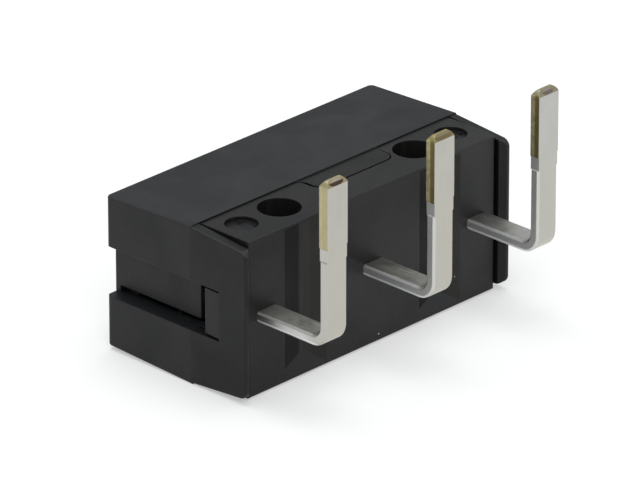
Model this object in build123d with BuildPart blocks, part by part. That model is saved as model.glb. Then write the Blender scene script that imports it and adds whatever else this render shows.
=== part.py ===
"""Ultra-small snap-action switch with right-angle board terminals, lying on its side.

+X runs along the body, +Y points to the plunger, +Z is the thickness.
The origin lies between the two mounting holes, on the face that the switch rests on.
"""
from build123d import *
import os

# ---------------------------------------------------------------- driving sizes, mm
body_length = 12.8          # over the two end tongues
crest_thickness = 5.8       # thickness of the cover at the parting line
rear_thickness = 5.48       # thickness of the cover at the plunger face
cover_depth = 4.0           # parting line to plunger face
hole_to_seam = 1.0          # mounting-hole line to parting line
hole_to_front = 1.2         # mounting-hole line to the terminal face of the base
base_inset = 0.05           # base sits this much below the cover's crest, each side

hole_spacing = 6.5
hole_diameter = 1.5
terminal_gap = 0.095        # outer terminals to the end walls of the cover, 5.08 pitch

# cover shell
side_wall = 0.75            # broad walls, at the parting line
rear_wall = 0.8
end_wall = 0.29             # wall behind the end channels
corner_radius = 0.2
edge_radius = 0.07

# end tongues of the cover, that clip over the base
tongue_thickness = 0.36
tongue_overrun = 0.3        # how far they stand past the terminal face
tongue_step = 0.04          # how much lower than the cover they start, each side
tongue_drop = 0.24          # the same at their free ends
tongue_corner = 0.3
tongue_root = 0.4           # how far the tongue runs on inside the cover
tongue_edge = 0.07          # rounding of its outer edges
tongue_lead = 0.2           # lead-in along the inner edge of its free end
tongue_gap = 0.08
channel_height = 1.82       # open channel along each end, and window in each tongue
channel_depth = 0.46
window_reach = 1.27         # parting line to the latching edge of the window
slot_width = 0.27           # slit below the spring arm in the channel
thin_slot_width = 0.12      # slit above it
slot_rear_web = 0.22        # solid cover left behind the slits

# latch of the base, in the window
catch_length = 0.67
catch_gap = 0.08
catch_ramp = 0.04
relief_depth = 0.45         # pocket in the base behind the end of the spring arm

# lap tongues on the broad faces
lap_width = 3.6
lap_reach = 0.92
lap_offset = 0.55           # centre of the lap, from the middle of the body
lap_thickness = 0.38
lap_corner = 0.4
lap_flare = 0.3             # hollow rounding where it leaves the cover
lap_gap = 0.075
lap_lean = 0.04             # how far the lap sits off the middle of its recess
lap_root = 0.4              # lap buried in the cover

# terminal face of the base
base_radius = 0.06
pocket_width = 2.0
pocket_step = 0.1           # depth of its steep side
pocket_depth = 0.27
pocket_ramp = 1.1           # steep side to the flat floor
pocket_fade = 0.85          # flat floor to the far side, where the pocket runs out
pocket_lip = 0.1            # thin lip that closes each pocket on the upper face
pocket_sill = 0.15          # solid base left below each pocket
pocket_run_out = 0.6        # height over which the lower end of the floor runs out
pocket_corner = 0.45
pin_mark_diameter = 1.15
pin_mark_depth = 0.15
pin_mark_inset = 0.92       # middle of each mark to the end of the base

# terminals
strip_width = 0.95
strip_thickness = 0.38
leg_reach = 3.22            # terminal face to the outer face of the upright
leg_rise = 8.74             # resting face to terminal tip
bend_radius = 0.75          # outside of the bend
edge_coin = 0.07            # coined edges of the plated lower leg
notch_height = 0.48
notch_depth = 0.03
notch_level = 6.09          # resting face to the middle of the notch
tip_corner = 0.24           # rounding of the two top corners of the tip
tip_bevel = 0.14            # taken off the front and back of the tip at its top
tip_bevel_rise = 0.2

# contact plates inside
plate_thickness = 0.3
plate_width = 1.6
contact_inset = 1.85        # middle of the contacts to the end of their plates
contact_diameter = 1.0
contact_head = 0.28
contact_crown = 0.03
shank_diameter = 0.6
contact_gap = 0.5
touch_clearance = 0.02
plate_wall_gap = 0.1        # plates to the end walls of the cover
plate_overhang = 0.6        # plate beyond the middle of its contact

# moving blade
blade_thickness = 0.1
blade_width = 2.4
blade_nose = 0.75           # blade beyond the middle of its contact
anchor_inset = 0.65         # middle of the anchor post to the end of its plate
anchor_thickness = 0.3
anchor_clearance = 0.03
anchor_tab_width = 0.6
anchor_tab_rise = 0.45
anchor_play = 0.1
blade_tail = 0.6            # blade behind the middle of the anchor post
window_width = 1.3
window_start = 1.0          # anchor post to the window of the blade
window_end = 1.8            # window of the blade to the contacts
spring_width = 1.0          # snap spring, cut from the middle of the blade
spring_thickness = 0.08
spring_tip = 2.95           # anchor post to the free end of the snap spring
spring_root = 0.25          # snap spring joined to the blade
spring_drop = 0.65          # blade to the free end of the snap spring
spring_bow = 0.12
seat_clearance = 0.23       # snap spring to its seat, with the switch at rest
seat_thickness = 0.3

# plunger
plunger_offset = 2.3        # anchor post to the middle of the plunger
plunger_length = 1.9
plunger_width = 1.6
plunger_rise = 0.8          # above the plunger face, at rest
plunger_travel = 0.6
plunger_fit = 0.05
plunger_corner = 0.3
flange_lip = 0.4
flange_thickness = 0.48
foot_length = 0.6
foot_width = 2.2
plunger_round = 0.45

# ---------------------------------------------------------------- derived places
cutter = 1                  # how far a cut runs past an open face
middle = crest_thickness / 2
seam_y = hole_to_seam
rear_y = seam_y + cover_depth
front_y = -hole_to_front
tongue_y = front_y - tongue_overrun
half_length = body_length / 2
tongue_inside = tongue_thickness - half_length
rear_drop = (crest_thickness - rear_thickness) / 2
base_half = half_length - tongue_thickness - tongue_gap
base_thickness = crest_thickness - 2 * base_inset
cavity_half = half_length - channel_depth - end_wall
cavity_rear = rear_y - rear_wall
cavity_height = crest_thickness - 2 * side_wall
hole_x = hole_spacing / 2
window_y = seam_y - window_reach

plate_reach = cavity_half - plate_wall_gap
terminal_pitch = cavity_half - terminal_gap - strip_width / 2
pin_mark_x = base_half - pin_mark_inset
contact_x = plate_reach - contact_inset
anchor_x = anchor_inset - plate_reach
blade_start = anchor_x - blade_tail
blade_end = contact_x + blade_nose
window_left = anchor_x + window_start
window_right = contact_x - window_end
spring_tip_x = anchor_x + spring_tip
plunger_x = anchor_x + plunger_offset
plate_top = seam_y + plate_thickness
open_face = plate_top + contact_head
blade_y = open_face + touch_clearance + contact_gap + contact_head
closed_face = blade_y + blade_thickness + contact_head + touch_clearance
closed_plate = closed_face + contact_head
seat_x = spring_tip_x + seat_thickness / 2
seat_top = blade_y - spring_drop - seat_clearance
upright_y = front_y - leg_reach

anchor_top = blade_y - anchor_clearance

# the blade turns about its anchor until the moving contact meets the open contact
blade_swing = contact_gap / (contact_x + contact_diameter / 2 - anchor_x)
foot_drop = blade_swing * (plunger_x - foot_length / 2 - anchor_x)
foot_y = blade_y + blade_thickness + plunger_travel - foot_drop + 1.5 * touch_clearance
flange_top = cavity_rear - 1.5 * touch_clearance
flange_bottom = flange_top - flange_thickness
plunger_top = rear_y + plunger_rise

catch_y = window_y + touch_clearance
catch_end = catch_y + catch_length
catch_height = channel_height - 2 * catch_gap

print("blade hinge at x", anchor_x, "y", round(blade_y, 3), "z", middle)
print("blade swing in radians", round(blade_swing, 5), "for plunger travel", plunger_travel)


def leg(x, inner_end):
    """One terminal strip: through the base, out, and up at a right angle."""
    low = middle - strip_thickness / 2
    inner_face = upright_y + strip_thickness
    notch_low = notch_level - notch_height / 2
    with BuildPart() as strip:
        # lower leg, with its long edges coined
        with BuildSketch(Plane.YZ.offset(x - strip_width / 2)):
            with BuildLine():
                Polyline(
                    (inner_end, low),
                    (upright_y, low),
                    (upright_y, notch_low),
                    (inner_face, notch_low),
                    (inner_face, low + strip_thickness),
                    (inner_end, low + strip_thickness),
                    close=True,
                )
            make_face()
            fillet(vertices().group_by(Axis.X)[0].sort_by(Axis.Y)[0], bend_radius)
            inside = vertices().filter_by_position(Axis.X, inner_face - 0.01, inner_face + 0.01)
            fillet(inside.sort_by(Axis.Y)[0], bend_radius - strip_thickness)
        extrude(amount=strip_width)
        sides = strip.faces().filter_by(Axis.X)
        ends = strip.faces().sort_by(Axis.Z)[-1].edges() + strip.faces().sort_by(Axis.Y)[-1].edges()
        chamfer(sides.edges() - ends, edge_coin)
        # bare upper part, bevelled front and back, with its two top corners rounded
        left = x - strip_width / 2
        right = x + strip_width / 2
        shoulder = leg_rise - tip_corner
        cut_in = tip_corner * (1 - 0.5 ** 0.5)
        with BuildSketch(Plane.YZ.offset(left)):
            with BuildLine():
                Polyline(
                    (upright_y, notch_low),
                    (upright_y, leg_rise - tip_bevel_rise),
                    (upright_y + tip_bevel, leg_rise),
                    (inner_face - tip_bevel, leg_rise),
                    (inner_face, leg_rise - tip_bevel_rise),
                    (inner_face, notch_low),
                    close=True,
                )
            make_face()
        extrude(amount=strip_width)
        with BuildSketch(Plane.XZ.offset(-inner_face)):
            for edge, inward in ((left, 1), (right, -1)):
                with BuildLine():
                    ThreePointArc(
                        (edge, shoulder),
                        (edge + inward * cut_in, leg_rise - cut_in),
                        (edge + inward * tip_corner, leg_rise),
                    )
                    Polyline(
                        (edge + inward * tip_corner, leg_rise),
                        (edge + inward * tip_corner, leg_rise + cutter),
                        (edge - inward * cutter, leg_rise + cutter),
                        (edge - inward * cutter, shoulder),
                        (edge, shoulder),
                    )
                make_face()
        extrude(amount=strip_thickness, mode=Mode.SUBTRACT)
        # shallow notch in each edge, where the bare upper part begins
        with BuildSketch(Plane.XZ.offset(-inner_face)):
            with Locations((x - strip_width / 2, notch_level), (x + strip_width / 2, notch_level)):
                Rectangle(2 * notch_depth, notch_height)
        extrude(amount=strip_thickness, mode=Mode.SUBTRACT)
    return strip.part


def lap_outline(centre, gap):
    """Outline of a lap tongue, drawn larger by a gap to cut its recess."""
    width = lap_width + 2 * gap
    reach = lap_reach + gap
    with BuildSketch() as outline:
        with Locations((centre, seam_y)):
            Rectangle(width, reach, align=(Align.CENTER, Align.MAX))
            Rectangle(width + 2 * lap_root, lap_root, align=(Align.CENTER, Align.MIN))
        fillet(outline.vertices().group_by(Axis.Y)[0], lap_corner + gap)
        at_seam = outline.vertices().group_by(Axis.Y)[-2]
        fillet(at_seam.sort_by(Axis.X)[1:-1], lap_flare - gap)
    return outline.sketch


leg_parts = [leg(x, plate_top) for x in (-terminal_pitch, 0, terminal_pitch)]

# ---------------------------------------------------------------- cover
with BuildPart() as end_tongue:
    with BuildSketch(Plane.YZ.offset(-half_length)):
        with BuildLine():
            Polyline(
                (seam_y + tongue_root, tongue_step),
                (seam_y, tongue_step),
                (tongue_y, tongue_drop),
                (tongue_y, crest_thickness - tongue_drop),
                (seam_y, crest_thickness - tongue_step),
                (seam_y + tongue_root, crest_thickness - tongue_step),
                close=True,
            )
        make_face()
        fillet(vertices().group_by(Axis.X)[0], tongue_corner)
    extrude(amount=tongue_thickness)
    with BuildSketch(Plane.XY):
        with BuildLine():
            Polyline(
                (tongue_inside + cutter, tongue_y + tongue_lead + cutter),
                (tongue_inside - tongue_lead - cutter, tongue_y - cutter),
                (tongue_inside + cutter, tongue_y - cutter),
                close=True,
            )
        make_face()
    extrude(amount=crest_thickness, mode=Mode.SUBTRACT)
    outer_edges = end_tongue.faces().sort_by(Axis.X)[0].edges()
    fillet(outer_edges - outer_edges.sort_by(Axis.Y)[-1:], tongue_edge)

with BuildPart() as cover:
    with BuildSketch(Plane.YZ.offset(-half_length)):
        with BuildLine():
            Polyline(
                (seam_y, 0),
                (rear_y, rear_drop),
                (rear_y, crest_thickness - rear_drop),
                (seam_y, crest_thickness),
                close=True,
            )
        make_face()
    extrude(amount=body_length)
    fillet(cover.faces().sort_by(Axis.Y)[-1].edges().filter_by(Axis.Z), corner_radius)
    rear_edges = cover.faces().sort_by(Axis.Y)[-1].edges().filter_by(Axis.X)
    end_faces = cover.faces().filter_by(Axis.X).group_by(Axis.X)
    long_edges = (end_faces[0].edges() + end_faces[-1].edges()).filter_by(
        lambda e: abs(e.tangent_at(0.5).Y) > 0.9
    )
    fillet(rear_edges + long_edges, edge_radius)
    # tongues that reach over the ends of the base
    add(end_tongue.part)
    mirror(end_tongue.part, about=Plane.YZ)
    # cavity, open at the parting line
    with BuildSketch(Plane.XZ.offset(-cavity_rear)):
        with Locations((0, middle)):
            RectangleRounded(2 * cavity_half, cavity_height, edge_radius)
    extrude(amount=cavity_rear - seam_y, mode=Mode.SUBTRACT)
    # open channel along each end, that becomes the latch window in the tongue
    with BuildSketch(Plane.XY.offset(middle - channel_height / 2)):
        for side in (-1, 1):
            with Locations((side * half_length, (window_y + rear_y + cutter) / 2)):
                Rectangle(2 * channel_depth, rear_y + cutter - window_y)
    extrude(amount=channel_height, mode=Mode.SUBTRACT)
    # slits either side of the spring arm, through into the cavity
    slot_rear = rear_y - slot_rear_web
    channel_top = middle + channel_height / 2
    slots = ((middle - channel_height / 2, slot_width), (channel_top - thin_slot_width, thin_slot_width))
    for slot_low, slot_height in slots:
        with BuildSketch(Plane.XY.offset(slot_low)):
            for side in (-1, 1):
                with Locations((side * half_length, (seam_y + slot_rear) / 2)):
                    Rectangle(2 * (half_length - cavity_half), slot_rear - seam_y)
        extrude(amount=slot_height, mode=Mode.SUBTRACT)
    # plunger opening
    with BuildSketch(Plane.XZ.offset(-rear_y)):
        with Locations((plunger_x, middle)):
            RectangleRounded(
                plunger_length + 2 * plunger_fit, plunger_width + 2 * plunger_fit, plunger_corner
            )
    extrude(amount=rear_wall, mode=Mode.SUBTRACT)
    # lap tongues on both broad faces
    for lap_low in (base_inset, crest_thickness - base_inset - lap_thickness):
        with BuildSketch(Plane.XY.offset(lap_low)):
            add(lap_outline(lap_offset + lap_lean, 0))
        extrude(amount=lap_thickness)
cover.part.label = "cover"

# ---------------------------------------------------------------- base
# cutter for a pocket, with its steep side at x = 0 and the terminal face at y = 0
with BuildPart() as pocket:
    pocket_low = base_inset + pocket_sill
    pocket_high = crest_thickness - base_inset - pocket_lip
    with BuildSketch(Plane.XY.offset(pocket_low)):
        with BuildLine():
            Polyline(
                (0, -cutter),
                (0, pocket_step),
                (pocket_ramp, pocket_depth),
                (pocket_width - pocket_fade, pocket_depth),
                (pocket_width + cutter * pocket_fade / pocket_depth, -cutter),
                close=True,
            )
        make_face()
    extrude(amount=pocket_high - pocket_low)
    # the floor runs out towards the lower end
    with BuildSketch(Plane.YZ):
        with BuildLine():
            Polyline(
                (pocket_depth, pocket_low + pocket_run_out),
                (-cutter, pocket_low - cutter * pocket_run_out / pocket_depth),
                (-cutter, pocket_high),
                (pocket_depth, pocket_high),
                close=True,
            )
        make_face()
    extrude(amount=body_length, mode=Mode.INTERSECT)
    # rounded lower corner on the steep side
    with BuildSketch(Plane.XZ.offset(-pocket_depth)):
        with Locations((0, pocket_low)):
            Rectangle(body_length, pocket_high - pocket_low, align=(Align.MIN, Align.MIN))
        fillet(vertices().group_by(Axis.X)[0].sort_by(Axis.Y)[0], pocket_corner)
    extrude(amount=pocket_depth + cutter, mode=Mode.INTERSECT)

with BuildPart() as base:
    with BuildSketch(Plane.XY.offset(base_inset)):
        with Locations((0, (front_y + seam_y) / 2)):
            Rectangle(2 * base_half, seam_y - front_y)
    extrude(amount=base_thickness)
    fillet(base.faces().sort_by(Axis.Y)[0].edges(), base_radius)
    # latches in the windows of the end tongues
    with BuildSketch(Plane.XY.offset(middle - catch_height / 2)):
        for side in (-1, 1):
            with BuildLine():
                Polyline(
                    (side * (base_half - base_radius), catch_y),
                    (side * (half_length - touch_clearance), catch_y),
                    (side * (half_length - touch_clearance - catch_ramp), catch_end),
                    (side * (base_half - base_radius), catch_end),
                    close=True,
                )
            make_face()
    extrude(amount=catch_height)
    with Locations((-hole_x, 0, crest_thickness), (hole_x, 0, crest_thickness)):
        Hole(hole_diameter / 2)
    # round marks left by the mould's pins
    with BuildSketch(Plane.XY.offset(crest_thickness - base_inset - pin_mark_depth)):
        with Locations((-pin_mark_x, 0), (pin_mark_x, 0)):
            Circle(pin_mark_diameter / 2)
    extrude(amount=pin_mark_depth, mode=Mode.SUBTRACT)
    # pockets in the terminal face, below each mounting hole
    pocket_side = pocket_width / 2
    with Locations((-hole_x - pocket_side, front_y, 0), (hole_x - pocket_side, front_y, 0)):
        add(pocket.part, mode=Mode.SUBTRACT)
    # relief behind the free end of each spring arm
    with BuildSketch(Plane.XY.offset(middle - channel_height / 2)):
        for side in (-1, 1):
            with Locations((side * base_half, (catch_end + seam_y) / 2)):
                Rectangle(2 * relief_depth, seam_y - catch_end)
    extrude(amount=channel_height, mode=Mode.SUBTRACT)
    # recesses for the lap tongues
    recess_depth = lap_thickness + lap_gap
    for recess_low in (base_inset, crest_thickness - base_inset - recess_depth):
        with BuildSketch(Plane.XY.offset(recess_low)):
            add(lap_outline(lap_offset, lap_gap))
        extrude(amount=recess_depth, mode=Mode.SUBTRACT)
    # the terminals are moulded in
    add(leg_parts, mode=Mode.SUBTRACT)
base.part.label = "base"

# ---------------------------------------------------------------- terminals
with BuildPart() as common_terminal:
    add(leg_parts[0])
    with BuildSketch(Plane.XY.offset(middle - plate_width / 2)):
        with BuildLine():
            Polyline(
                (-plate_reach, seam_y),
                (seat_x, seam_y),
                (seat_x, seat_top),
                (seat_x - seat_thickness, seat_top),
                (seat_x - seat_thickness, plate_top),
                (anchor_x + anchor_thickness / 2, plate_top),
                (anchor_x + anchor_thickness / 2, anchor_top),
                (anchor_x - anchor_thickness / 2, anchor_top),
                (anchor_x - anchor_thickness / 2, plate_top),
                (-plate_reach, plate_top),
                close=True,
            )
        make_face()
    extrude(amount=plate_width)
    # tab that passes up through the tail of the blade
    with BuildSketch(Plane.XZ.offset(-anchor_top)):
        with Locations((anchor_x, middle)):
            Rectangle(anchor_thickness, anchor_tab_width)
    extrude(amount=-anchor_tab_rise)
common_terminal.part.label = "common_terminal"

with BuildPart() as normally_open_terminal:
    add(leg_parts[1])
    with BuildSketch(Plane.XY.offset(middle - plate_width / 2)):
        with BuildLine():
            Polyline(
                (-strip_width / 2, seam_y),
                (contact_x + plate_overhang, seam_y),
                (contact_x + plate_overhang, plate_top),
                (-strip_width / 2, plate_top),
                close=True,
            )
        make_face()
    extrude(amount=plate_width)
    with BuildSketch(Plane.XZ.offset(-seam_y)):
        with Locations((contact_x, middle)):
            Circle(shank_diameter / 2)
    extrude(amount=-plate_thickness, mode=Mode.SUBTRACT)
normally_open_terminal.part.label = "normally_open_terminal"

with BuildPart() as normally_closed_terminal:
    add(leg_parts[2])
    with BuildSketch(Plane.XY.offset(middle - plate_width / 2)):
        with BuildLine():
            Polyline(
                (plate_reach, seam_y),
                (plate_reach, closed_plate + plate_thickness),
                (contact_x - plate_overhang, closed_plate + plate_thickness),
                (contact_x - plate_overhang, closed_plate),
                (plate_reach - plate_thickness, closed_plate),
                (plate_reach - plate_thickness, seam_y),
                close=True,
            )
        make_face()
    extrude(amount=plate_width)
    with BuildSketch(Plane.XZ.offset(-closed_plate)):
        with Locations((contact_x, middle)):
            Circle(shank_diameter / 2)
    extrude(amount=-plate_thickness, mode=Mode.SUBTRACT)
normally_closed_terminal.part.label = "normally_closed_terminal"

# ---------------------------------------------------------------- contacts
contact_axis = Axis((contact_x, 0, middle), (0, 1, 0))
contact_plane = Plane((contact_x, 0, middle))
head = contact_diameter / 2
shank = shank_diameter / 2
crown_sphere = (head**2 + contact_crown**2) / (2 * contact_crown)
half_crown = crown_sphere - (crown_sphere**2 - (head / 2) ** 2) ** 0.5

with BuildPart() as open_contact:
    with BuildSketch(contact_plane):
        with BuildLine():
            Polyline((0, open_face), (0, seam_y), (shank, seam_y), (shank, plate_top))
            Polyline((shank, plate_top), (head, plate_top), (head, open_face - contact_crown))
            ThreePointArc(
                (head, open_face - contact_crown),
                (head / 2, open_face - half_crown),
                (0, open_face),
            )
        make_face()
    revolve(axis=contact_axis)
open_contact.part.label = "open_contact"

with BuildPart() as closed_contact:
    shank_end = closed_plate + plate_thickness
    with BuildSketch(contact_plane):
        with BuildLine():
            Polyline((0, closed_face), (0, shank_end), (shank, shank_end), (shank, closed_plate))
            Polyline((shank, closed_plate), (head, closed_plate), (head, closed_face + contact_crown))
            ThreePointArc(
                (head, closed_face + contact_crown),
                (head / 2, closed_face + half_crown),
                (0, closed_face),
            )
        make_face()
    revolve(axis=contact_axis)
closed_contact.part.label = "closed_contact"

with BuildPart() as moving_contact:
    blade_top = blade_y + blade_thickness
    low_face = blade_y - contact_head
    high_face = blade_top + contact_head
    with BuildSketch(contact_plane):
        with BuildLine():
            Line((0, low_face), (0, high_face))
            ThreePointArc(
                (0, high_face),
                (head / 2, high_face - half_crown),
                (head, high_face - contact_crown),
            )
            Polyline((head, high_face - contact_crown), (head, blade_top), (shank, blade_top))
            Polyline((shank, blade_top), (shank, blade_y), (head, blade_y))
            Line((head, blade_y), (head, low_face + contact_crown))
            ThreePointArc(
                (head, low_face + contact_crown),
                (head / 2, low_face + half_crown),
                (0, low_face),
            )
        make_face()
    revolve(axis=contact_axis)
moving_contact.part.label = "moving_contact"

# ---------------------------------------------------------------- moving blade
with BuildPart() as moving_blade:
    with BuildSketch(Plane.XZ.offset(-blade_y)):
        with Locations(((blade_start + blade_end) / 2, middle)):
            Rectangle(blade_end - blade_start, blade_width)
        with Locations(((window_left + window_right) / 2, middle)):
            Rectangle(window_right - window_left, window_width, mode=Mode.SUBTRACT)
        with Locations((anchor_x, middle)):
            Rectangle(
                anchor_thickness + 2 * anchor_play,
                anchor_tab_width + 2 * anchor_play,
                mode=Mode.SUBTRACT,
            )
        with Locations((contact_x, middle)):
            Circle(shank, mode=Mode.SUBTRACT)
    extrude(amount=-blade_thickness)
    # snap spring, cut from the middle of the blade and bowed down towards its seat
    with BuildSketch(Plane.XY.offset(middle - spring_width / 2)):
        root = window_right + spring_root
        half_way = (root + spring_tip_x) / 2
        with BuildLine():
            ThreePointArc(
                (root, blade_y),
                (half_way, blade_y - spring_drop / 2 + spring_bow),
                (spring_tip_x, blade_y - spring_drop),
            )
            Line(
                (spring_tip_x, blade_y - spring_drop),
                (spring_tip_x, blade_y - spring_drop + spring_thickness),
            )
            ThreePointArc(
                (spring_tip_x, blade_y - spring_drop + spring_thickness),
                (half_way, blade_y - spring_drop / 2 + spring_bow + spring_thickness),
                (root, blade_y + spring_thickness),
            )
            Line((root, blade_y + spring_thickness), (root, blade_y))
        make_face()
    extrude(amount=spring_width)
moving_blade.part.label = "moving_blade"

# ---------------------------------------------------------------- plunger
with BuildPart() as plunger:
    with BuildSketch(Plane.XZ.offset(-flange_bottom)):
        with Locations((plunger_x, middle)):
            RectangleRounded(plunger_length, plunger_width, plunger_corner - plunger_fit)
    extrude(amount=-(plunger_top - flange_bottom))
    fillet(plunger.faces().sort_by(Axis.Y)[-1].edges(), plunger_round)
    with BuildSketch(Plane.XZ.offset(-flange_bottom)):
        with Locations((plunger_x, middle)):
            Rectangle(plunger_length + 2 * flange_lip, plunger_width + 2 * flange_lip)
    extrude(amount=-flange_thickness)
    with BuildSketch(Plane.XZ.offset(-flange_bottom)):
        with Locations((plunger_x, middle)):
            Rectangle(foot_length, foot_width)
    extrude(amount=flange_bottom - foot_y)
plunger.part.label = "plunger"

# ---------------------------------------------------------------- files
os.makedirs("parts", exist_ok=True)
export_step(cover.part, "parts/cover.step")
export_step(base.part, "parts/base.step")
export_step(plunger.part, "parts/plunger.step")
export_step(common_terminal.part, "parts/common_terminal.step")
export_step(normally_open_terminal.part, "parts/normally_open_terminal.step")
export_step(normally_closed_terminal.part, "parts/normally_closed_terminal.step")
export_step(open_contact.part, "parts/open_contact.step")
export_step(closed_contact.part, "parts/closed_contact.step")
export_step(moving_contact.part, "parts/moving_contact.step")
export_step(moving_blade.part, "parts/moving_blade.step")
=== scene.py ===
import math

import bpy
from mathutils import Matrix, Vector

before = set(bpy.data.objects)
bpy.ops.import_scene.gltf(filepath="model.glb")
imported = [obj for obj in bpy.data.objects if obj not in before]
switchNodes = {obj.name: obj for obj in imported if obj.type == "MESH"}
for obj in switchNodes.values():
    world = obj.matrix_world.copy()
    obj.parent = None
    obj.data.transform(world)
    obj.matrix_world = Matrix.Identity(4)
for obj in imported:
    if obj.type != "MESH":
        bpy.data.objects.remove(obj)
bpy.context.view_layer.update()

print("switch loaded:", len(switchNodes), "pieces")


# small helpers for node trees
def addNode(tree, kind, **settings):
    node = tree.nodes.new(kind)
    for name, value in settings.items():
        setattr(node, name, value)
    return node


def feed(tree, socket, source):          # source is another socket or a plain value
    if isinstance(source, bpy.types.NodeSocket):
        tree.links.new(source, socket)
    else:
        socket.default_value = source


def calc(tree, operation, first, second=0.0, third=0.0, clamp=False):
    node = addNode(tree, "ShaderNodeMath", operation=operation, use_clamp=clamp)
    for socket, source in zip(node.inputs, (first, second, third)):
        feed(tree, socket, source)
    return node.outputs[0]


def product(tree, first, *others):
    for other in others:
        first = calc(tree, "MULTIPLY", first, other)
    return first


def ramp(tree, value, low, high, outLow=0.0, outHigh=1.0):
    node = addNode(tree, "ShaderNodeMapRange", interpolation_type="SMOOTHSTEP")
    for name, source in (("Value", value), ("From Min", low), ("From Max", high),
                         ("To Min", outLow), ("To Max", outHigh)):
        feed(tree, node.inputs[name], source)
    return node.outputs[0]


def mixValue(tree, factor, first, second):
    node = addNode(tree, "ShaderNodeMix", data_type="FLOAT")
    for index, source in ((0, factor), (2, first), (3, second)):
        feed(tree, node.inputs[index], source)
    return node.outputs[0]


def blendColour(tree, factor, first, second):
    node = addNode(tree, "ShaderNodeMix", data_type="RGBA")
    feed(tree, node.inputs[0], factor)
    for socket, source in ((node.inputs[6], first), (node.inputs[7], second)):
        feed(tree, socket, (*source, 1.0) if isinstance(source, tuple) else source)
    return node.outputs[2]


def newGroup(name, inputs, outputs):
    group = bpy.data.node_groups.new(name, "ShaderNodeTree")
    for label, kind, value in inputs:
        socket = group.interface.new_socket(name=label, in_out="INPUT", socket_type=kind)
        if value is not None:
            socket.default_value = value
    for label, kind in outputs:
        group.interface.new_socket(name=label, in_out="OUTPUT", socket_type=kind)
    return group, group.nodes.new("NodeGroupInput"), group.nodes.new("NodeGroupOutput")


def placeGroup(tree, group, **values):
    node = addNode(tree, "ShaderNodeGroup", node_tree=group)
    for name, source in values.items():
        feed(tree, node.inputs[name], source)
    return node


floatSocket, vectorSocket = "NodeSocketFloat", "NodeSocketVector"


# effects that several finishes share
def makePlaces():                        # place on the piece in mm, and which way the surface faces
    numbers = [(label, floatSocket) for label in ("X", "Y", "Z", "Facing X", "Facing Y", "Facing Z")]
    group, start, end = newGroup("partPlaces", [], [("Place", vectorSocket)] + numbers)
    coords = addNode(group, "ShaderNodeTexCoord")
    scaled = addNode(group, "ShaderNodeVectorMath", operation="SCALE")
    feed(group, scaled.inputs[0], coords.outputs["Object"])
    scaled.inputs["Scale"].default_value = 1000      # metres to mm
    feed(group, end.inputs["Place"], scaled.outputs[0])
    split = addNode(group, "ShaderNodeSeparateXYZ")
    feed(group, split.inputs[0], scaled.outputs[0])
    facing = addNode(group, "ShaderNodeSeparateXYZ")
    feed(group, facing.inputs[0], coords.outputs["Normal"])
    for axis in "XYZ":
        feed(group, end.inputs[axis], split.outputs[axis])
        feed(group, end.inputs["Facing " + axis], facing.outputs[axis])
    return group


def makeErodedGrain():                   # fine pitting that a spark-eroded mould leaves
    group, start, end = newGroup("erodedGrain",
                                 [("Place", vectorSocket, None), ("Scale", floatSocket, 9.0)],
                                 [("Height", floatSocket), ("Tone", floatSocket)])
    coarse = addNode(group, "ShaderNodeTexNoise")
    fine = addNode(group, "ShaderNodeTexNoise")
    pits = addNode(group, "ShaderNodeTexVoronoi", feature="SMOOTH_F1")
    for node, factor, detail in ((coarse, 1.0, 3.0), (fine, 2.9, 2.0), (pits, 1.3, 0.0)):
        feed(group, node.inputs["Vector"], start.outputs["Place"])
        feed(group, node.inputs["Scale"], calc(group, "MULTIPLY", start.outputs["Scale"], factor))
        node.inputs["Detail"].default_value = detail
    height = calc(group, "MULTIPLY_ADD", fine.outputs["Fac"], 0.35, coarse.outputs["Fac"])
    height = calc(group, "MULTIPLY_ADD", pits.outputs["Distance"], 0.5, height)
    feed(group, end.inputs["Height"], height)
    feed(group, end.inputs["Tone"], ramp(group, coarse.outputs["Fac"], 0.3, 0.7))
    return group


def makeEdges():                         # rounded normal over sharp edges, and a mask of the edges
    group, start, end = newGroup("edgeTouch", [("Radius", floatSocket, 0.00003)],
                                 [("Normal", vectorSocket), ("Edge", floatSocket)])
    rounding = addNode(group, "ShaderNodeBevel", samples=6)
    feed(group, rounding.inputs["Radius"], start.outputs["Radius"])
    geometry = addNode(group, "ShaderNodeNewGeometry")
    both = addNode(group, "ShaderNodeVectorMath", operation="DOT_PRODUCT")
    feed(group, both.inputs[0], rounding.outputs[0])
    feed(group, both.inputs[1], geometry.outputs["Normal"])
    feed(group, end.inputs["Normal"], rounding.outputs[0])
    feed(group, end.inputs["Edge"], ramp(group, both.outputs["Value"], 0.995, 0.90))
    return group


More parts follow.
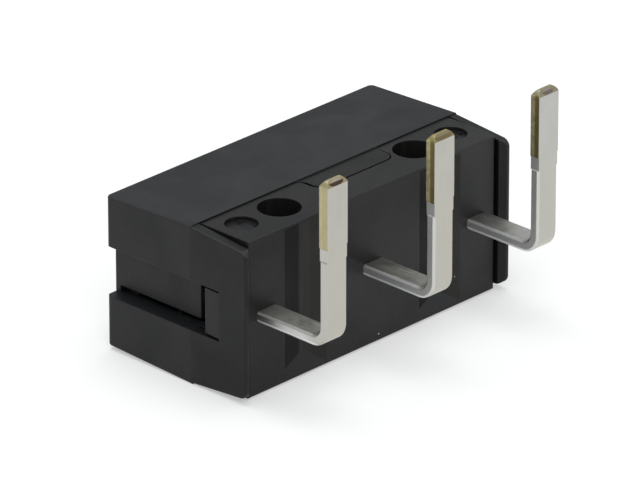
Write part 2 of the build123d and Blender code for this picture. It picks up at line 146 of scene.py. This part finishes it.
def makeDust():                          # loose pale specks with ragged outlines
    group, start, end = newGroup("dustSpecks",
                                 [("Place", vectorSocket, None), ("Spread", floatSocket, 1.0),
                                  ("Size", floatSocket, 0.05), ("Share", floatSocket, 0.3)],
                                 [("Dust", floatSocket)])
    cells = addNode(group, "ShaderNodeTexVoronoi")
    feed(group, cells.inputs["Vector"], start.outputs["Place"])
    feed(group, cells.inputs["Scale"], start.outputs["Spread"])
    pick = addNode(group, "ShaderNodeSeparateColor")
    feed(group, pick.inputs[0], cells.outputs["Color"])
    chosen = calc(group, "LESS_THAN", pick.outputs[0], start.outputs["Share"])
    reach = calc(group, "MULTIPLY", start.outputs["Size"], calc(group, "ADD", pick.outputs[1], 0.35))
    ragged = addNode(group, "ShaderNodeTexNoise")
    feed(group, ragged.inputs["Vector"], start.outputs["Place"])
    ragged.inputs["Scale"].default_value = 16
    uneven = calc(group, "MULTIPLY", reach, calc(group, "ADD", ragged.outputs["Fac"], 0.5))
    near = calc(group, "LESS_THAN", cells.outputs["Distance"], uneven)
    thick = ramp(group, ragged.outputs["Fac"], 0.3, 0.55)
    feed(group, end.inputs["Dust"], product(group, chosen, near, thick))
    return group


def makeSmudge():                        # slow change of tone, from flow in the mould or handling
    group, start, end = newGroup("slowTone",
                                 [("Place", vectorSocket, None), ("Scale", floatSocket, 0.5)],
                                 [("Tone", floatSocket)])
    slow = addNode(group, "ShaderNodeTexNoise")
    feed(group, slow.inputs["Vector"], start.outputs["Place"])
    feed(group, slow.inputs["Scale"], start.outputs["Scale"])
    slow.inputs["Detail"].default_value = 4
    slow.inputs["Distortion"].default_value = 0.6
    feed(group, end.inputs["Tone"], ramp(group, slow.outputs["Fac"], 0.3, 0.7))
    return group


def makeRolledLines():                   # fine lines along rolled strip
    group, start, end = newGroup("rolledLines",
                                 [("Place", vectorSocket, None),
                                  ("Stretch", vectorSocket, (30.0, 30.0, 1.2))],
                                 [("Height", floatSocket), ("Tone", floatSocket)])
    squeezed = addNode(group, "ShaderNodeVectorMath", operation="MULTIPLY")
    feed(group, squeezed.inputs[0], start.outputs["Place"])
    feed(group, squeezed.inputs[1], start.outputs["Stretch"])
    lines = addNode(group, "ShaderNodeTexNoise")
    feed(group, lines.inputs["Vector"], squeezed.outputs[0])
    lines.inputs["Scale"].default_value = 1
    lines.inputs["Detail"].default_value = 2
    feed(group, end.inputs["Height"], lines.outputs["Fac"])
    feed(group, end.inputs["Tone"], ramp(group, lines.outputs["Fac"], 0.35, 0.65))
    return group


places = makePlaces()
erodedGrain = makeErodedGrain()
edgeTouch = makeEdges()
dustSpecks = makeDust()
slowTone = makeSmudge()
rolledLines = makeRolledLines()
print("shared effects made")


def newMaterial(name):
    material = bpy.data.materials.new(name)
    material.use_nodes = True
    tree = material.node_tree
    shader = tree.nodes["Principled BSDF"]
    return material, tree, shader


def dress(nodeName, material):
    for slot in switchNodes[nodeName].material_slots:
        slot.material = material


def bump(tree, height, depth, normal):
    node = addNode(tree, "ShaderNodeBump")
    node.inputs["Distance"].default_value = depth
    feed(tree, node.inputs["Height"], height)
    feed(tree, node.inputs["Normal"], normal)
    return node.outputs[0]


def mouldedPlastic(name, look, details=None, shades=None):
    material, tree, shader = newMaterial(name)
    at = placeGroup(tree, places)
    grain = placeGroup(tree, erodedGrain, Place=at.outputs["Place"], Scale=look["grainPerMm"])
    slow = placeGroup(tree, slowTone, Place=at.outputs["Place"], Scale=look["tonePerMm"])
    edges = placeGroup(tree, edgeTouch, Radius=look["edgeRadius"])
    dust = placeGroup(tree, dustSpecks, Place=at.outputs["Place"], Spread=look["dustPerMm"],
                      Size=look["dustSize"], Share=look["dustShare"])
    colour = blendColour(tree, slow.outputs["Tone"], look["darkColour"], look["colour"])
    for mask, share in ((grain.outputs["Tone"], look["grainTone"]),
                        (edges.outputs["Edge"], look["edgeWear"])):
        colour = blendColour(tree, product(tree, mask, share), colour, look["paleColour"])
    sideX, sideY, sideZ = (calc(tree, "ABSOLUTE", at.outputs["Facing " + axis]) for axis in "XYZ")
    if shades:                           # painted reflection: broad sides painted cooler and paler; painted shade: end tongues painted darker
        broad = product(tree, ramp(tree, sideZ, 0.97, 0.99),
                        ramp(tree, at.outputs["Y"], shades["seam"] - 0.01, shades["seam"] + 0.03))
        colour = blendColour(tree, broad, colour, shades["broad"])
        # painted shade: the end tongues get a darker colour
        onTongue = product(tree, ramp(tree, at.outputs["Y"], shades["seam"] + 0.08, shades["seam"]),
                           ramp(tree, sideX, 0.90, 0.96))
        colour = blendColour(tree, onTongue, colour, shades["tongue"])
    # upper rounded edges painted paler than the faces: a painted highlight
    outward = calc(tree, "MAXIMUM", sideX, sideY)
    rounded = ramp(tree, product(tree, outward, at.outputs["Facing Z"]), 0.15, 0.45)
    colour = blendColour(tree, rounded, colour, look["paintedEdgeHighlight"])
    if details:                          # the two slopes of each pocket: one painted darker with less sheen, a painted shade, and one painted lighter and warmer, a painted light
        forward = ramp(tree, at.outputs["Facing Y"], -0.85, -0.95)
        turned = ramp(tree, at.outputs["Facing X"], details["slopeFrom"], details["slopeFull"])
        shallow = ramp(tree, at.outputs["Y"], details["deepEnd"], details["deepEnd"] - 0.035)
        slope = product(tree, turned, forward, shallow)
        away = ramp(tree, at.outputs["Facing X"], -details["slopeFull"], -2 * details["slopeFull"])
        # painted shade: the slope facing +X gets a darker colour
        colour = blendColour(tree, slope, colour, details["paintedSlopeShade"])
        # painted light: the slope facing -X gets a lighter, warmer colour
        colour = blendColour(tree, product(tree, away, forward), colour, details["paintedSlopeLight"])
        fromEnd = ramp(tree, at.outputs["X"], -details["halfLength"], details["halfLength"])
        sheen = mixValue(tree, fromEnd, look["specular"], details["farSpecular"])
        floors = product(tree, forward, ramp(tree, at.outputs["Y"], details["floorFrom"],
                                             details["floorFull"]))
        sheen = calc(tree, "ADD", sheen, product(tree, floors, details["floorSheen"]))
        sheen = mixValue(tree, slope, sheen, details["slopeSpecular"])
        # the round pin marks, scuffed across
        along = calc(tree, "SUBTRACT", calc(tree, "ABSOLUTE", at.outputs["X"]), details["markPlace"])
        squared = calc(tree, "MULTIPLY_ADD", along, along,
                       product(tree, at.outputs["Y"], at.outputs["Y"]))
        inMark = ramp(tree, squared, details["markRadius"] ** 2, 0.8 * details["markRadius"] ** 2)
        inMark = product(tree, inMark, ramp(tree, at.outputs["Facing Z"], 0.8, 0.9))
        scuffs = placeGroup(tree, slowTone, Place=at.outputs["Place"], Scale=details["scuffPerMm"])
        fromLine = calc(tree, "ABSOLUTE", calc(tree, "SUBTRACT", scuffs.outputs["Tone"], 0.5))
        scuff = product(tree, inMark, ramp(tree, fromLine, details["scuffWidth"], 0.04))
        colour = blendColour(tree, inMark, colour, details["markColour"])
        colour = blendColour(tree, scuff, colour, details["scuffColour"])
        sheen = mixValue(tree, scuff, sheen, details["scuffSpecular"])
        feed(tree, shader.inputs["Specular IOR Level"], sheen)      # an export drops this link
    else:
        shader.inputs["Specular IOR Level"].default_value = look["specular"]
    colour = blendColour(tree, dust.outputs["Dust"], colour, look["dustColour"])
    feed(tree, shader.inputs["Base Color"], colour)
    rough = calc(tree, "MULTIPLY_ADD", slow.outputs["Tone"], look["roughSpread"], look["roughness"])
    rough = calc(tree, "MULTIPLY_ADD", edges.outputs["Edge"], -look["edgePolish"], rough)
    rough = calc(tree, "ADD", rough, dust.outputs["Dust"], clamp=True)
    feed(tree, shader.inputs["Roughness"], rough)
    height = calc(tree, "MULTIPLY_ADD", dust.outputs["Dust"], look["dustHeight"],
                  grain.outputs["Height"])
    relief = bump(tree, height, look["grainDepth"], edges.outputs["Normal"])
    feed(tree, shader.inputs["Normal"], relief)
    return material


coverLook = {
    "colour": (0.0098, 0.0100, 0.0110),
    "darkColour": (0.0084, 0.0081, 0.0078),
    "paleColour": (0.020, 0.020, 0.021),
    # painted highlight on the upper rounded edges
    "paintedEdgeHighlight": (0.034, 0.034, 0.036),
    "dustColour": (0.62, 0.62, 0.60),
    "roughness": 0.42,
    "roughSpread": 0.14,
    "specular": 0.27,
    "grainPerMm": 8.0,
    "grainDepth": 0.0000022,
    "grainTone": 0.25,
    "tonePerMm": 0.45,
    "edgeRadius": 0.00004,
    "edgeWear": 0.3,
    "edgePolish": 0.10,
    "dustPerMm": 0.6,
    "dustSize": 0.024,
    "dustShare": 0.12,
    "dustHeight": 3.0,           # against the grain's own height
}

baseLook = dict(coverLook, **{
    "colour": (0.0092, 0.0093, 0.0102),
    "darkColour": (0.0086, 0.0080, 0.0072),
    "roughness": 0.40,
    "specular": 0.255,
    "grainPerMm": 9.5,
    "dustPerMm": 1.3,
    "dustSize": 0.05,
    "dustShare": 0.55,
})

baseDetails = {                          # pocket slopes and pin marks
    # painted shade on the slope facing +X
    "paintedSlopeShade": (0.0075, 0.0078, 0.0078),
    # painted light on the slope facing -X
    "paintedSlopeLight": (0.0165, 0.0150, 0.0128),
    "slopeSpecular": 0.10,
    "farSpecular": 0.33,         # of the plain faces, at the +X end
    "floorSheen": 0.05,
    "slopeFrom": 0.06,           # how far sideways a slope faces
    "slopeFull": 0.12,
    "halfLength": 5.0,           # places in mm
    "deepEnd": -0.935,
    "floorFrom": -1.03,
    "floorFull": -0.98,
    "markPlace": 5.04,
    "markRadius": 0.56,
    "markColour": (0.0125, 0.0125, 0.0135),
    "scuffColour": (0.0045, 0.0045, 0.0045),
    "scuffSpecular": 0.06,
    "scuffPerMm": 1.7,
    "scuffWidth": 0.14,
}

coverShades = {
    # painted sky reflection on the broad sides
    "broad": (0.0138, 0.0160, 0.0182),
    # painted shade on the end tongues
    "tongue": (0.0042, 0.0042, 0.0042),
    "seam": 1.0,                 # parting line of the case, in mm
}

plungerLook = dict(coverLook, **{
    "colour": (0.0085, 0.0085, 0.0095),
    "darkColour": (0.0065, 0.0065, 0.0075),
    "roughness": 0.24,
    "grainPerMm": 14.0,
    "grainDepth": 0.0000009,
    "grainTone": 0.12,
    "dustShare": 0.05,
})

dress("cover", mouldedPlastic("coverPlastic", coverLook, shades=coverShades))
dress("base", mouldedPlastic("basePlastic", baseLook, details=baseDetails))
dress("plunger", mouldedPlastic("plungerPlastic", plungerLook))
print("plastic pieces finished")


# plated strip, bare brass where the tips were cut after plating
def platedTerminal(name, look):
    material, tree, shader = newMaterial(name)
    at = placeGroup(tree, places)
    x, y, z = (at.outputs[axis] for axis in "XYZ")
    sideways = ramp(tree, calc(tree, "ABSOLUTE", at.outputs["Facing X"]), 0.6, 0.8)
    upright = ramp(tree, y, look["uprightEnd"] + 0.02, look["uprightEnd"] - 0.02)
    upLines, footLines = (placeGroup(tree, rolledLines, Place=at.outputs["Place"], Stretch=look[way])
                          for way in ("lineStretch", "footStretch"))
    lineTone, lineHeight = (mixValue(tree, upright, footLines.outputs[label], upLines.outputs[label])
                            for label in ("Tone", "Height"))
    slow = placeGroup(tree, slowTone, Place=at.outputs["Place"], Scale=look["tonePerMm"])
    edges = placeGroup(tree, edgeTouch, Radius=look["edgeRadius"])
    stain = placeGroup(tree, slowTone, Place=at.outputs["Place"], Scale=look["stainPerMm"])

    # where the plating is missing: the sides above the notch, the arch of the tip and its bevel
    aboveNotch = ramp(tree, z, look["bareFrom"] - 0.02, look["bareFrom"] + 0.02)
    bareSide = product(tree, aboveNotch, sideways, upright)
    nearTip = ramp(tree, z, look["tipFrom"], look["tipFrom"] + 0.05)
    arch = product(tree, nearTip, ramp(tree, at.outputs["Facing Z"], 0.30, 0.40))
    across = calc(tree, "DIVIDE", calc(tree, "SUBTRACT", x, look["middleX"]), look["lensWidth"] / 2)
    upwards = calc(tree, "SUBTRACT", z, look["lensLevel"])
    upwards = calc(tree, "DIVIDE", upwards, look["lensHeight"] / 2)
    spread = calc(tree, "MULTIPLY_ADD", across, across, product(tree, upwards, upwards))
    bevelled = ramp(tree, at.outputs["Facing Y"], -0.4, -0.5)
    bevel = product(tree, arch, bevelled, ramp(tree, spread, 1.15, 0.75))
    # glint: a painted highlight on the upper part of the bevel
    glint = product(tree, bevel, ramp(tree, upwards, 0.05, 0.45))
    rearEdge = ramp(tree, y, look["rearEdgeFrom"] - 0.04, look["rearEdgeFrom"] + 0.04)

    plate = blendColour(tree, slow.outputs["Tone"], look["plateDull"], look["plate"])
    plate = blendColour(tree, product(tree, lineTone, 0.3), plate, look["plateLine"])
    warm = ramp(tree, z, look["warmBelow"], look["warmBelow"] - 3.0, 0.0, 0.5)
    plate = blendColour(tree, warm, plate, look["plateWarm"])
    bare = blendColour(tree, rearEdge, look["bareMiddle"], look["bareRim"])
    bare = blendColour(tree, product(tree, stain.outputs["Tone"], 0.5), bare, look["bareStain"])
    colour = blendColour(tree, bareSide, plate, bare)
    for mask, finish in ((arch, "arch"), (bevel, "bevel"), (glint, "glint")):
        colour = blendColour(tree, mask, colour, look[finish])

    # the foot: coined long edges, a painted highlight along the bottom of its sides and on its lower
    # coined edges, and patchy stains
    foot = calc(tree, "SUBTRACT", 1.0, upright)
    slanted = ramp(tree, calc(tree, "ABSOLUTE", at.outputs["Facing X"]), 0.2, 0.45)
    coined = product(tree, slanted, foot, calc(tree, "SUBTRACT", 1.0, sideways))
    rim = product(tree, foot, ramp(tree, z, look["rimTop"] + 0.03, look["rimTop"] - 0.03), sideways)
    below = product(tree, coined, ramp(tree, at.outputs["Facing Z"], -0.2, -0.4))
    # the small ledge below the notch gets the same painted highlight
    ledge = product(tree, upright, ramp(tree, z, look["ledgeFrom"], look["ledgeFrom"] + 0.1),
                    ramp(tree, at.outputs["Facing Z"], 0.7, 0.8), calc(tree, "SUBTRACT", 1.0, nearTip))
    # coined edges: worn matte plating, and painted paler as a painted highlight
    coined = calc(tree, "MAXIMUM", calc(tree, "MAXIMUM", coined, ledge), rim)
    patchy = product(tree, foot, stain.outputs["Tone"], look["footPatch"])
    # painted light: the plated sides below the notch and the foot's sides get a lighter colour
    paintedLitPlatedSide = product(tree, sideways, calc(tree, "SUBTRACT", 1.0, aboveNotch))
    paintedLitFootSide = product(tree, sideways, ramp(tree, y, look["footSideFrom"], look["footSideFull"]))
    for mask, finish in ((patchy, "footStain"), (paintedLitPlatedSide, "paintedLitPlatedSide"), (paintedLitFootSide, "paintedLitFootSide"),
                         (coined, "coinedWearAndHighlight"), (calc(tree, "MAXIMUM", below, rim), "paintedLowerHighlight")):
        colour = blendColour(tree, mask, colour, look[finish])
    feed(tree, shader.inputs["Base Color"], colour)
    feed(tree, shader.inputs["Metallic"], mixValue(tree, coined, 1.0, look["coinedMetal"]))

    rough = calc(tree, "MULTIPLY_ADD", slow.outputs["Tone"], 0.06, look["roughness"])
    rough = calc(tree, "MULTIPLY_ADD", lineTone, 0.05, rough)
    duller = mixValue(tree, upright, look["footRoughness"] - look["roughness"], 0.0)
    rough = calc(tree, "ADD", duller, rough)
    for mask, finish in ((sideways, "sideRoughness"), (coined, "coinedRoughness")):
        rough = calc(tree, "MAXIMUM", rough, product(tree, mask, look[finish]))
    feed(tree, shader.inputs["Roughness"], calc(tree, "MULTIPLY_ADD", arch, 0.15, rough))
    height = calc(tree, "MULTIPLY_ADD", stain.outputs["Tone"], look["dentShare"], lineHeight)
    relief = bump(tree, height, look["lineDepth"], edges.outputs["Normal"])
    feed(tree, shader.inputs["Normal"], relief)
    return material


terminalLook = {
    "plate": (0.485, 0.475, 0.43),
    "plateDull": (0.445, 0.435, 0.39),
    "plateLine": (0.525, 0.515, 0.475),
    "plateWarm": (0.50, 0.48, 0.41),
    "bareMiddle": (0.41, 0.37, 0.22),
    "bareRim": (0.45, 0.415, 0.26),
    "bareStain": (0.37, 0.325, 0.19),
    "arch": (0.50, 0.44, 0.26),
    "bevel": (0.13, 0.085, 0.055),
    "glint": (0.62, 0.56, 0.47),
    "footStain": (0.62, 0.63, 0.635),
    "footPatch": 0.6,
    "paintedLitPlatedSide": (0.49, 0.48, 0.44),
    "paintedLitFootSide": (0.62, 0.615, 0.59),
    # worn matte plating, and a painted highlight
    "coinedWearAndHighlight": (0.55, 0.55, 0.53),
    # painted highlight on the foot's lower edges and bottom rim
    "paintedLowerHighlight": (0.95, 0.95, 0.94),
    "coinedMetal": 0.4,
    "roughness": 0.26,
    "sideRoughness": 0.30,
    "footRoughness": 0.38,
    "coinedRoughness": 0.55,
    "lineStretch": (9.0, 9.0, 0.8),
    "footStretch": (9.0, 0.8, 9.0),
    "lineDepth": 0.0000003,
    "dentShare": 0.3,
    "tonePerMm": 0.9,
    "stainPerMm": 3.5,
    "edgeRadius": 0.00004,
    "bareFrom": 6.33,            # heights and places in mm
    "tipFrom": 8.4,
    "warmBelow": 7.5,
    "uprightEnd": -3.95,
    "ledgeFrom": 5.6,
    "rimTop": 2.83,
    "footSideFrom": -3.9,
    "footSideFull": -3.2,
    "rearEdgeFrom": -4.19,
    "middleX": -5.08,
    "lensWidth": 0.66,
    "lensLevel": 8.63,
    "lensHeight": 0.2,
}

darkEdgeLook = dict(terminalLook, **{    # middle and far strips, whose cut edges are tarnished; their plated and foot sides are painted lighter, a painted light
    "paintedLitPlatedSide": (0.68, 0.68, 0.66),
    "paintedLitFootSide": (0.74, 0.75, 0.76),
    "bareMiddle": (0.27, 0.225, 0.10),
    "bareStain": (0.19, 0.155, 0.07),
    "bareRim": (0.70, 0.64, 0.36),
    "rearEdgeFrom": -4.22,
    "sideRoughness": 0.50,
})

middleLook = dict(darkEdgeLook, arch=(0.42, 0.36, 0.17), bevel=(0.30, 0.235, 0.13),
                  glint=(0.42, 0.35, 0.24), middleX=0.0, lensWidth=0.8)
farLook = dict(darkEdgeLook, arch=(0.44, 0.40, 0.27), bevel=(0.30, 0.235, 0.20),
               glint=(0.50, 0.44, 0.38), middleX=5.08, lensWidth=0.5, plate=(0.49, 0.487, 0.465),
               plateDull=(0.45, 0.447, 0.42))

dress("common_terminal", platedTerminal("commonPlating", terminalLook))
dress("normally_open_terminal", platedTerminal("openPlating", middleLook))
dress("normally_closed_terminal", platedTerminal("closedPlating", farLook))
print("terminals finished")


# blade and contacts inside the case
def rolledMetal(name, look):
    material, tree, shader = newMaterial(name)
    at = placeGroup(tree, places)
    lines = placeGroup(tree, rolledLines, Place=at.outputs["Place"], Stretch=look["lineStretch"])
    slow = placeGroup(tree, slowTone, Place=at.outputs["Place"], Scale=look["tonePerMm"])
    edges = placeGroup(tree, edgeTouch, Radius=look["edgeRadius"])
    colour = blendColour(tree, slow.outputs["Tone"], look["dullColour"], look["colour"])
    colour = blendColour(tree, product(tree, lines.outputs["Tone"], 0.3), colour, look["lineColour"])
    feed(tree, shader.inputs["Base Color"], colour)
    shader.inputs["Metallic"].default_value = 1.0
    rough = calc(tree, "MULTIPLY_ADD", slow.outputs["Tone"], 0.12, look["roughness"])
    feed(tree, shader.inputs["Roughness"], rough)
    relief = bump(tree, lines.outputs["Height"], look["lineDepth"], edges.outputs["Normal"])
    feed(tree, shader.inputs["Normal"], relief)
    return material


bladeLook = {
    "colour": (0.72, 0.47, 0.27),
    "dullColour": (0.60, 0.38, 0.21),
    "lineColour": (0.80, 0.56, 0.35),
    "roughness": 0.24,
    "lineStretch": (1.2, 26.0, 26.0),
    "lineDepth": 0.000001,
    "tonePerMm": 0.8,
    "edgeRadius": 0.00001,
}

contactLook = {
    "colour": (0.78, 0.77, 0.74),
    "dullColour": (0.66, 0.64, 0.60),
    "lineColour": (0.84, 0.83, 0.80),
    "roughness": 0.20,
    "lineStretch": (12.0, 12.0, 12.0),
    "lineDepth": 0.0000008,
    "tonePerMm": 2.0,
    "edgeRadius": 0.00003,
}

dress("moving_blade", rolledMetal("bladeCopper", bladeLook))
for contactName in ("open_contact", "closed_contact", "moving_contact"):
    dress(contactName, rolledMetal(contactName + "Silver", contactLook))
print("inner works finished")


tableLook = {
    "colour": (0.65, 0.65, 0.65),
    "roughness": 0.9,
    "seenStrength": 0.40,
    "halfSize": 1.5,
    "height": -0.000002,
}


def makeTable(look):
    half, height = look["halfSize"], look["height"]
    mesh = bpy.data.meshes.new("table")
    corners = [(x * half, y * half, height) for x, y in ((-1, -1), (1, -1), (1, 1), (-1, 1))]
    mesh.from_pydata(corners, [], [(0, 1, 2, 3)])
    table = bpy.data.objects.new("table", mesh)
    bpy.context.scene.collection.objects.link(table)
    material, tree, shader = newMaterial("paleTable")
    shader.inputs["Base Color"].default_value = (*look["colour"], 1)
    shader.inputs["Roughness"].default_value = look["roughness"]
    shader.inputs["Specular IOR Level"].default_value = 0.0
    shader.inputs["Emission Color"].default_value = (1, 1, 1, 1)
    light = addNode(tree, "ShaderNodeLightPath")
    seen = calc(tree, "MAXIMUM", light.outputs["Is Camera Ray"], light.outputs["Is Glossy Ray"])
    seen = calc(tree, "MAXIMUM", seen, light.outputs["Is Transmission Ray"])
    feed(tree, shader.inputs["Emission Strength"], product(tree, seen, look["seenStrength"]))
    mesh.materials.append(material)


worldLook = {
    "colour": (0.96, 0.985, 1.0),
    "strength": 0.53,
}


def makeWorld(look):
    world = bpy.data.worlds.new("paleRoom")
    world.use_nodes = True
    background = world.node_tree.nodes["Background"]
    background.inputs["Color"].default_value = (*look["colour"], 1)
    background.inputs["Strength"].default_value = look["strength"]
    bpy.context.scene.world = world


lampLook = {                             # place and size in metres, power in watts
    "overhead": {"place": (0.02, 0.04, 0.45), "size": 0.34, "power": 0.92},
    "front": {"place": (-0.22, -0.25, 0.33), "size": 0.22, "power": 0.42},
}


def makeLamps(look):
    aim = Vector((0, 0.001, 0.003))      # about the middle of the case
    for name, lamp in look.items():
        data = bpy.data.lights.new(name, "AREA")
        data.shape = "SQUARE"
        data.size = lamp["size"]
        data.energy = lamp["power"]
        holder = bpy.data.objects.new(name, data)
        holder.location = lamp["place"]
        holder.rotation_euler = (aim - Vector(lamp["place"])).to_track_quat("-Z", "Y").to_euler()
        bpy.context.scene.collection.objects.link(holder)


cameraLook = {                           # degrees, metres, mm of lens
    "azimuth": -46.11,
    "elevation": 24.81,
    "distance": 0.273,
    "lens": 457.7,
    "sensor": 36,
    "aim": (0.0, 0.001, 0.0029),
    "right": 0.000188,
    "up": -0.00023,
}


def makeCamera(look):
    azimuth, elevation = math.radians(look["azimuth"]), math.radians(look["elevation"])
    level = Vector((math.sin(azimuth), -math.cos(azimuth), 0))
    back = level * math.cos(elevation) + Vector((0, 0, math.sin(elevation)))
    right = Vector((math.cos(azimuth), math.sin(azimuth), 0))
    up = back.cross(right)
    data = bpy.data.cameras.new("viewer")
    data.lens = look["lens"]
    data.sensor_width = look["sensor"]
    data.clip_start = 0.01
    data.clip_end = 10
    camera = bpy.data.objects.new("viewer", data)
    camera.location = (Vector(look["aim"]) + back * look["distance"]
                       - right * look["right"] - up * look["up"])
    camera.rotation_euler = back.to_track_quat("Z", "Y").to_euler()
    bpy.context.scene.collection.objects.link(camera)
    bpy.context.scene.camera = camera


makeTable(tableLook)
makeWorld(worldLook)
makeLamps(lampLook)
makeCamera(cameraLook)
bpy.context.scene.view_settings.view_transform = "Standard"
print("table, light and camera placed")
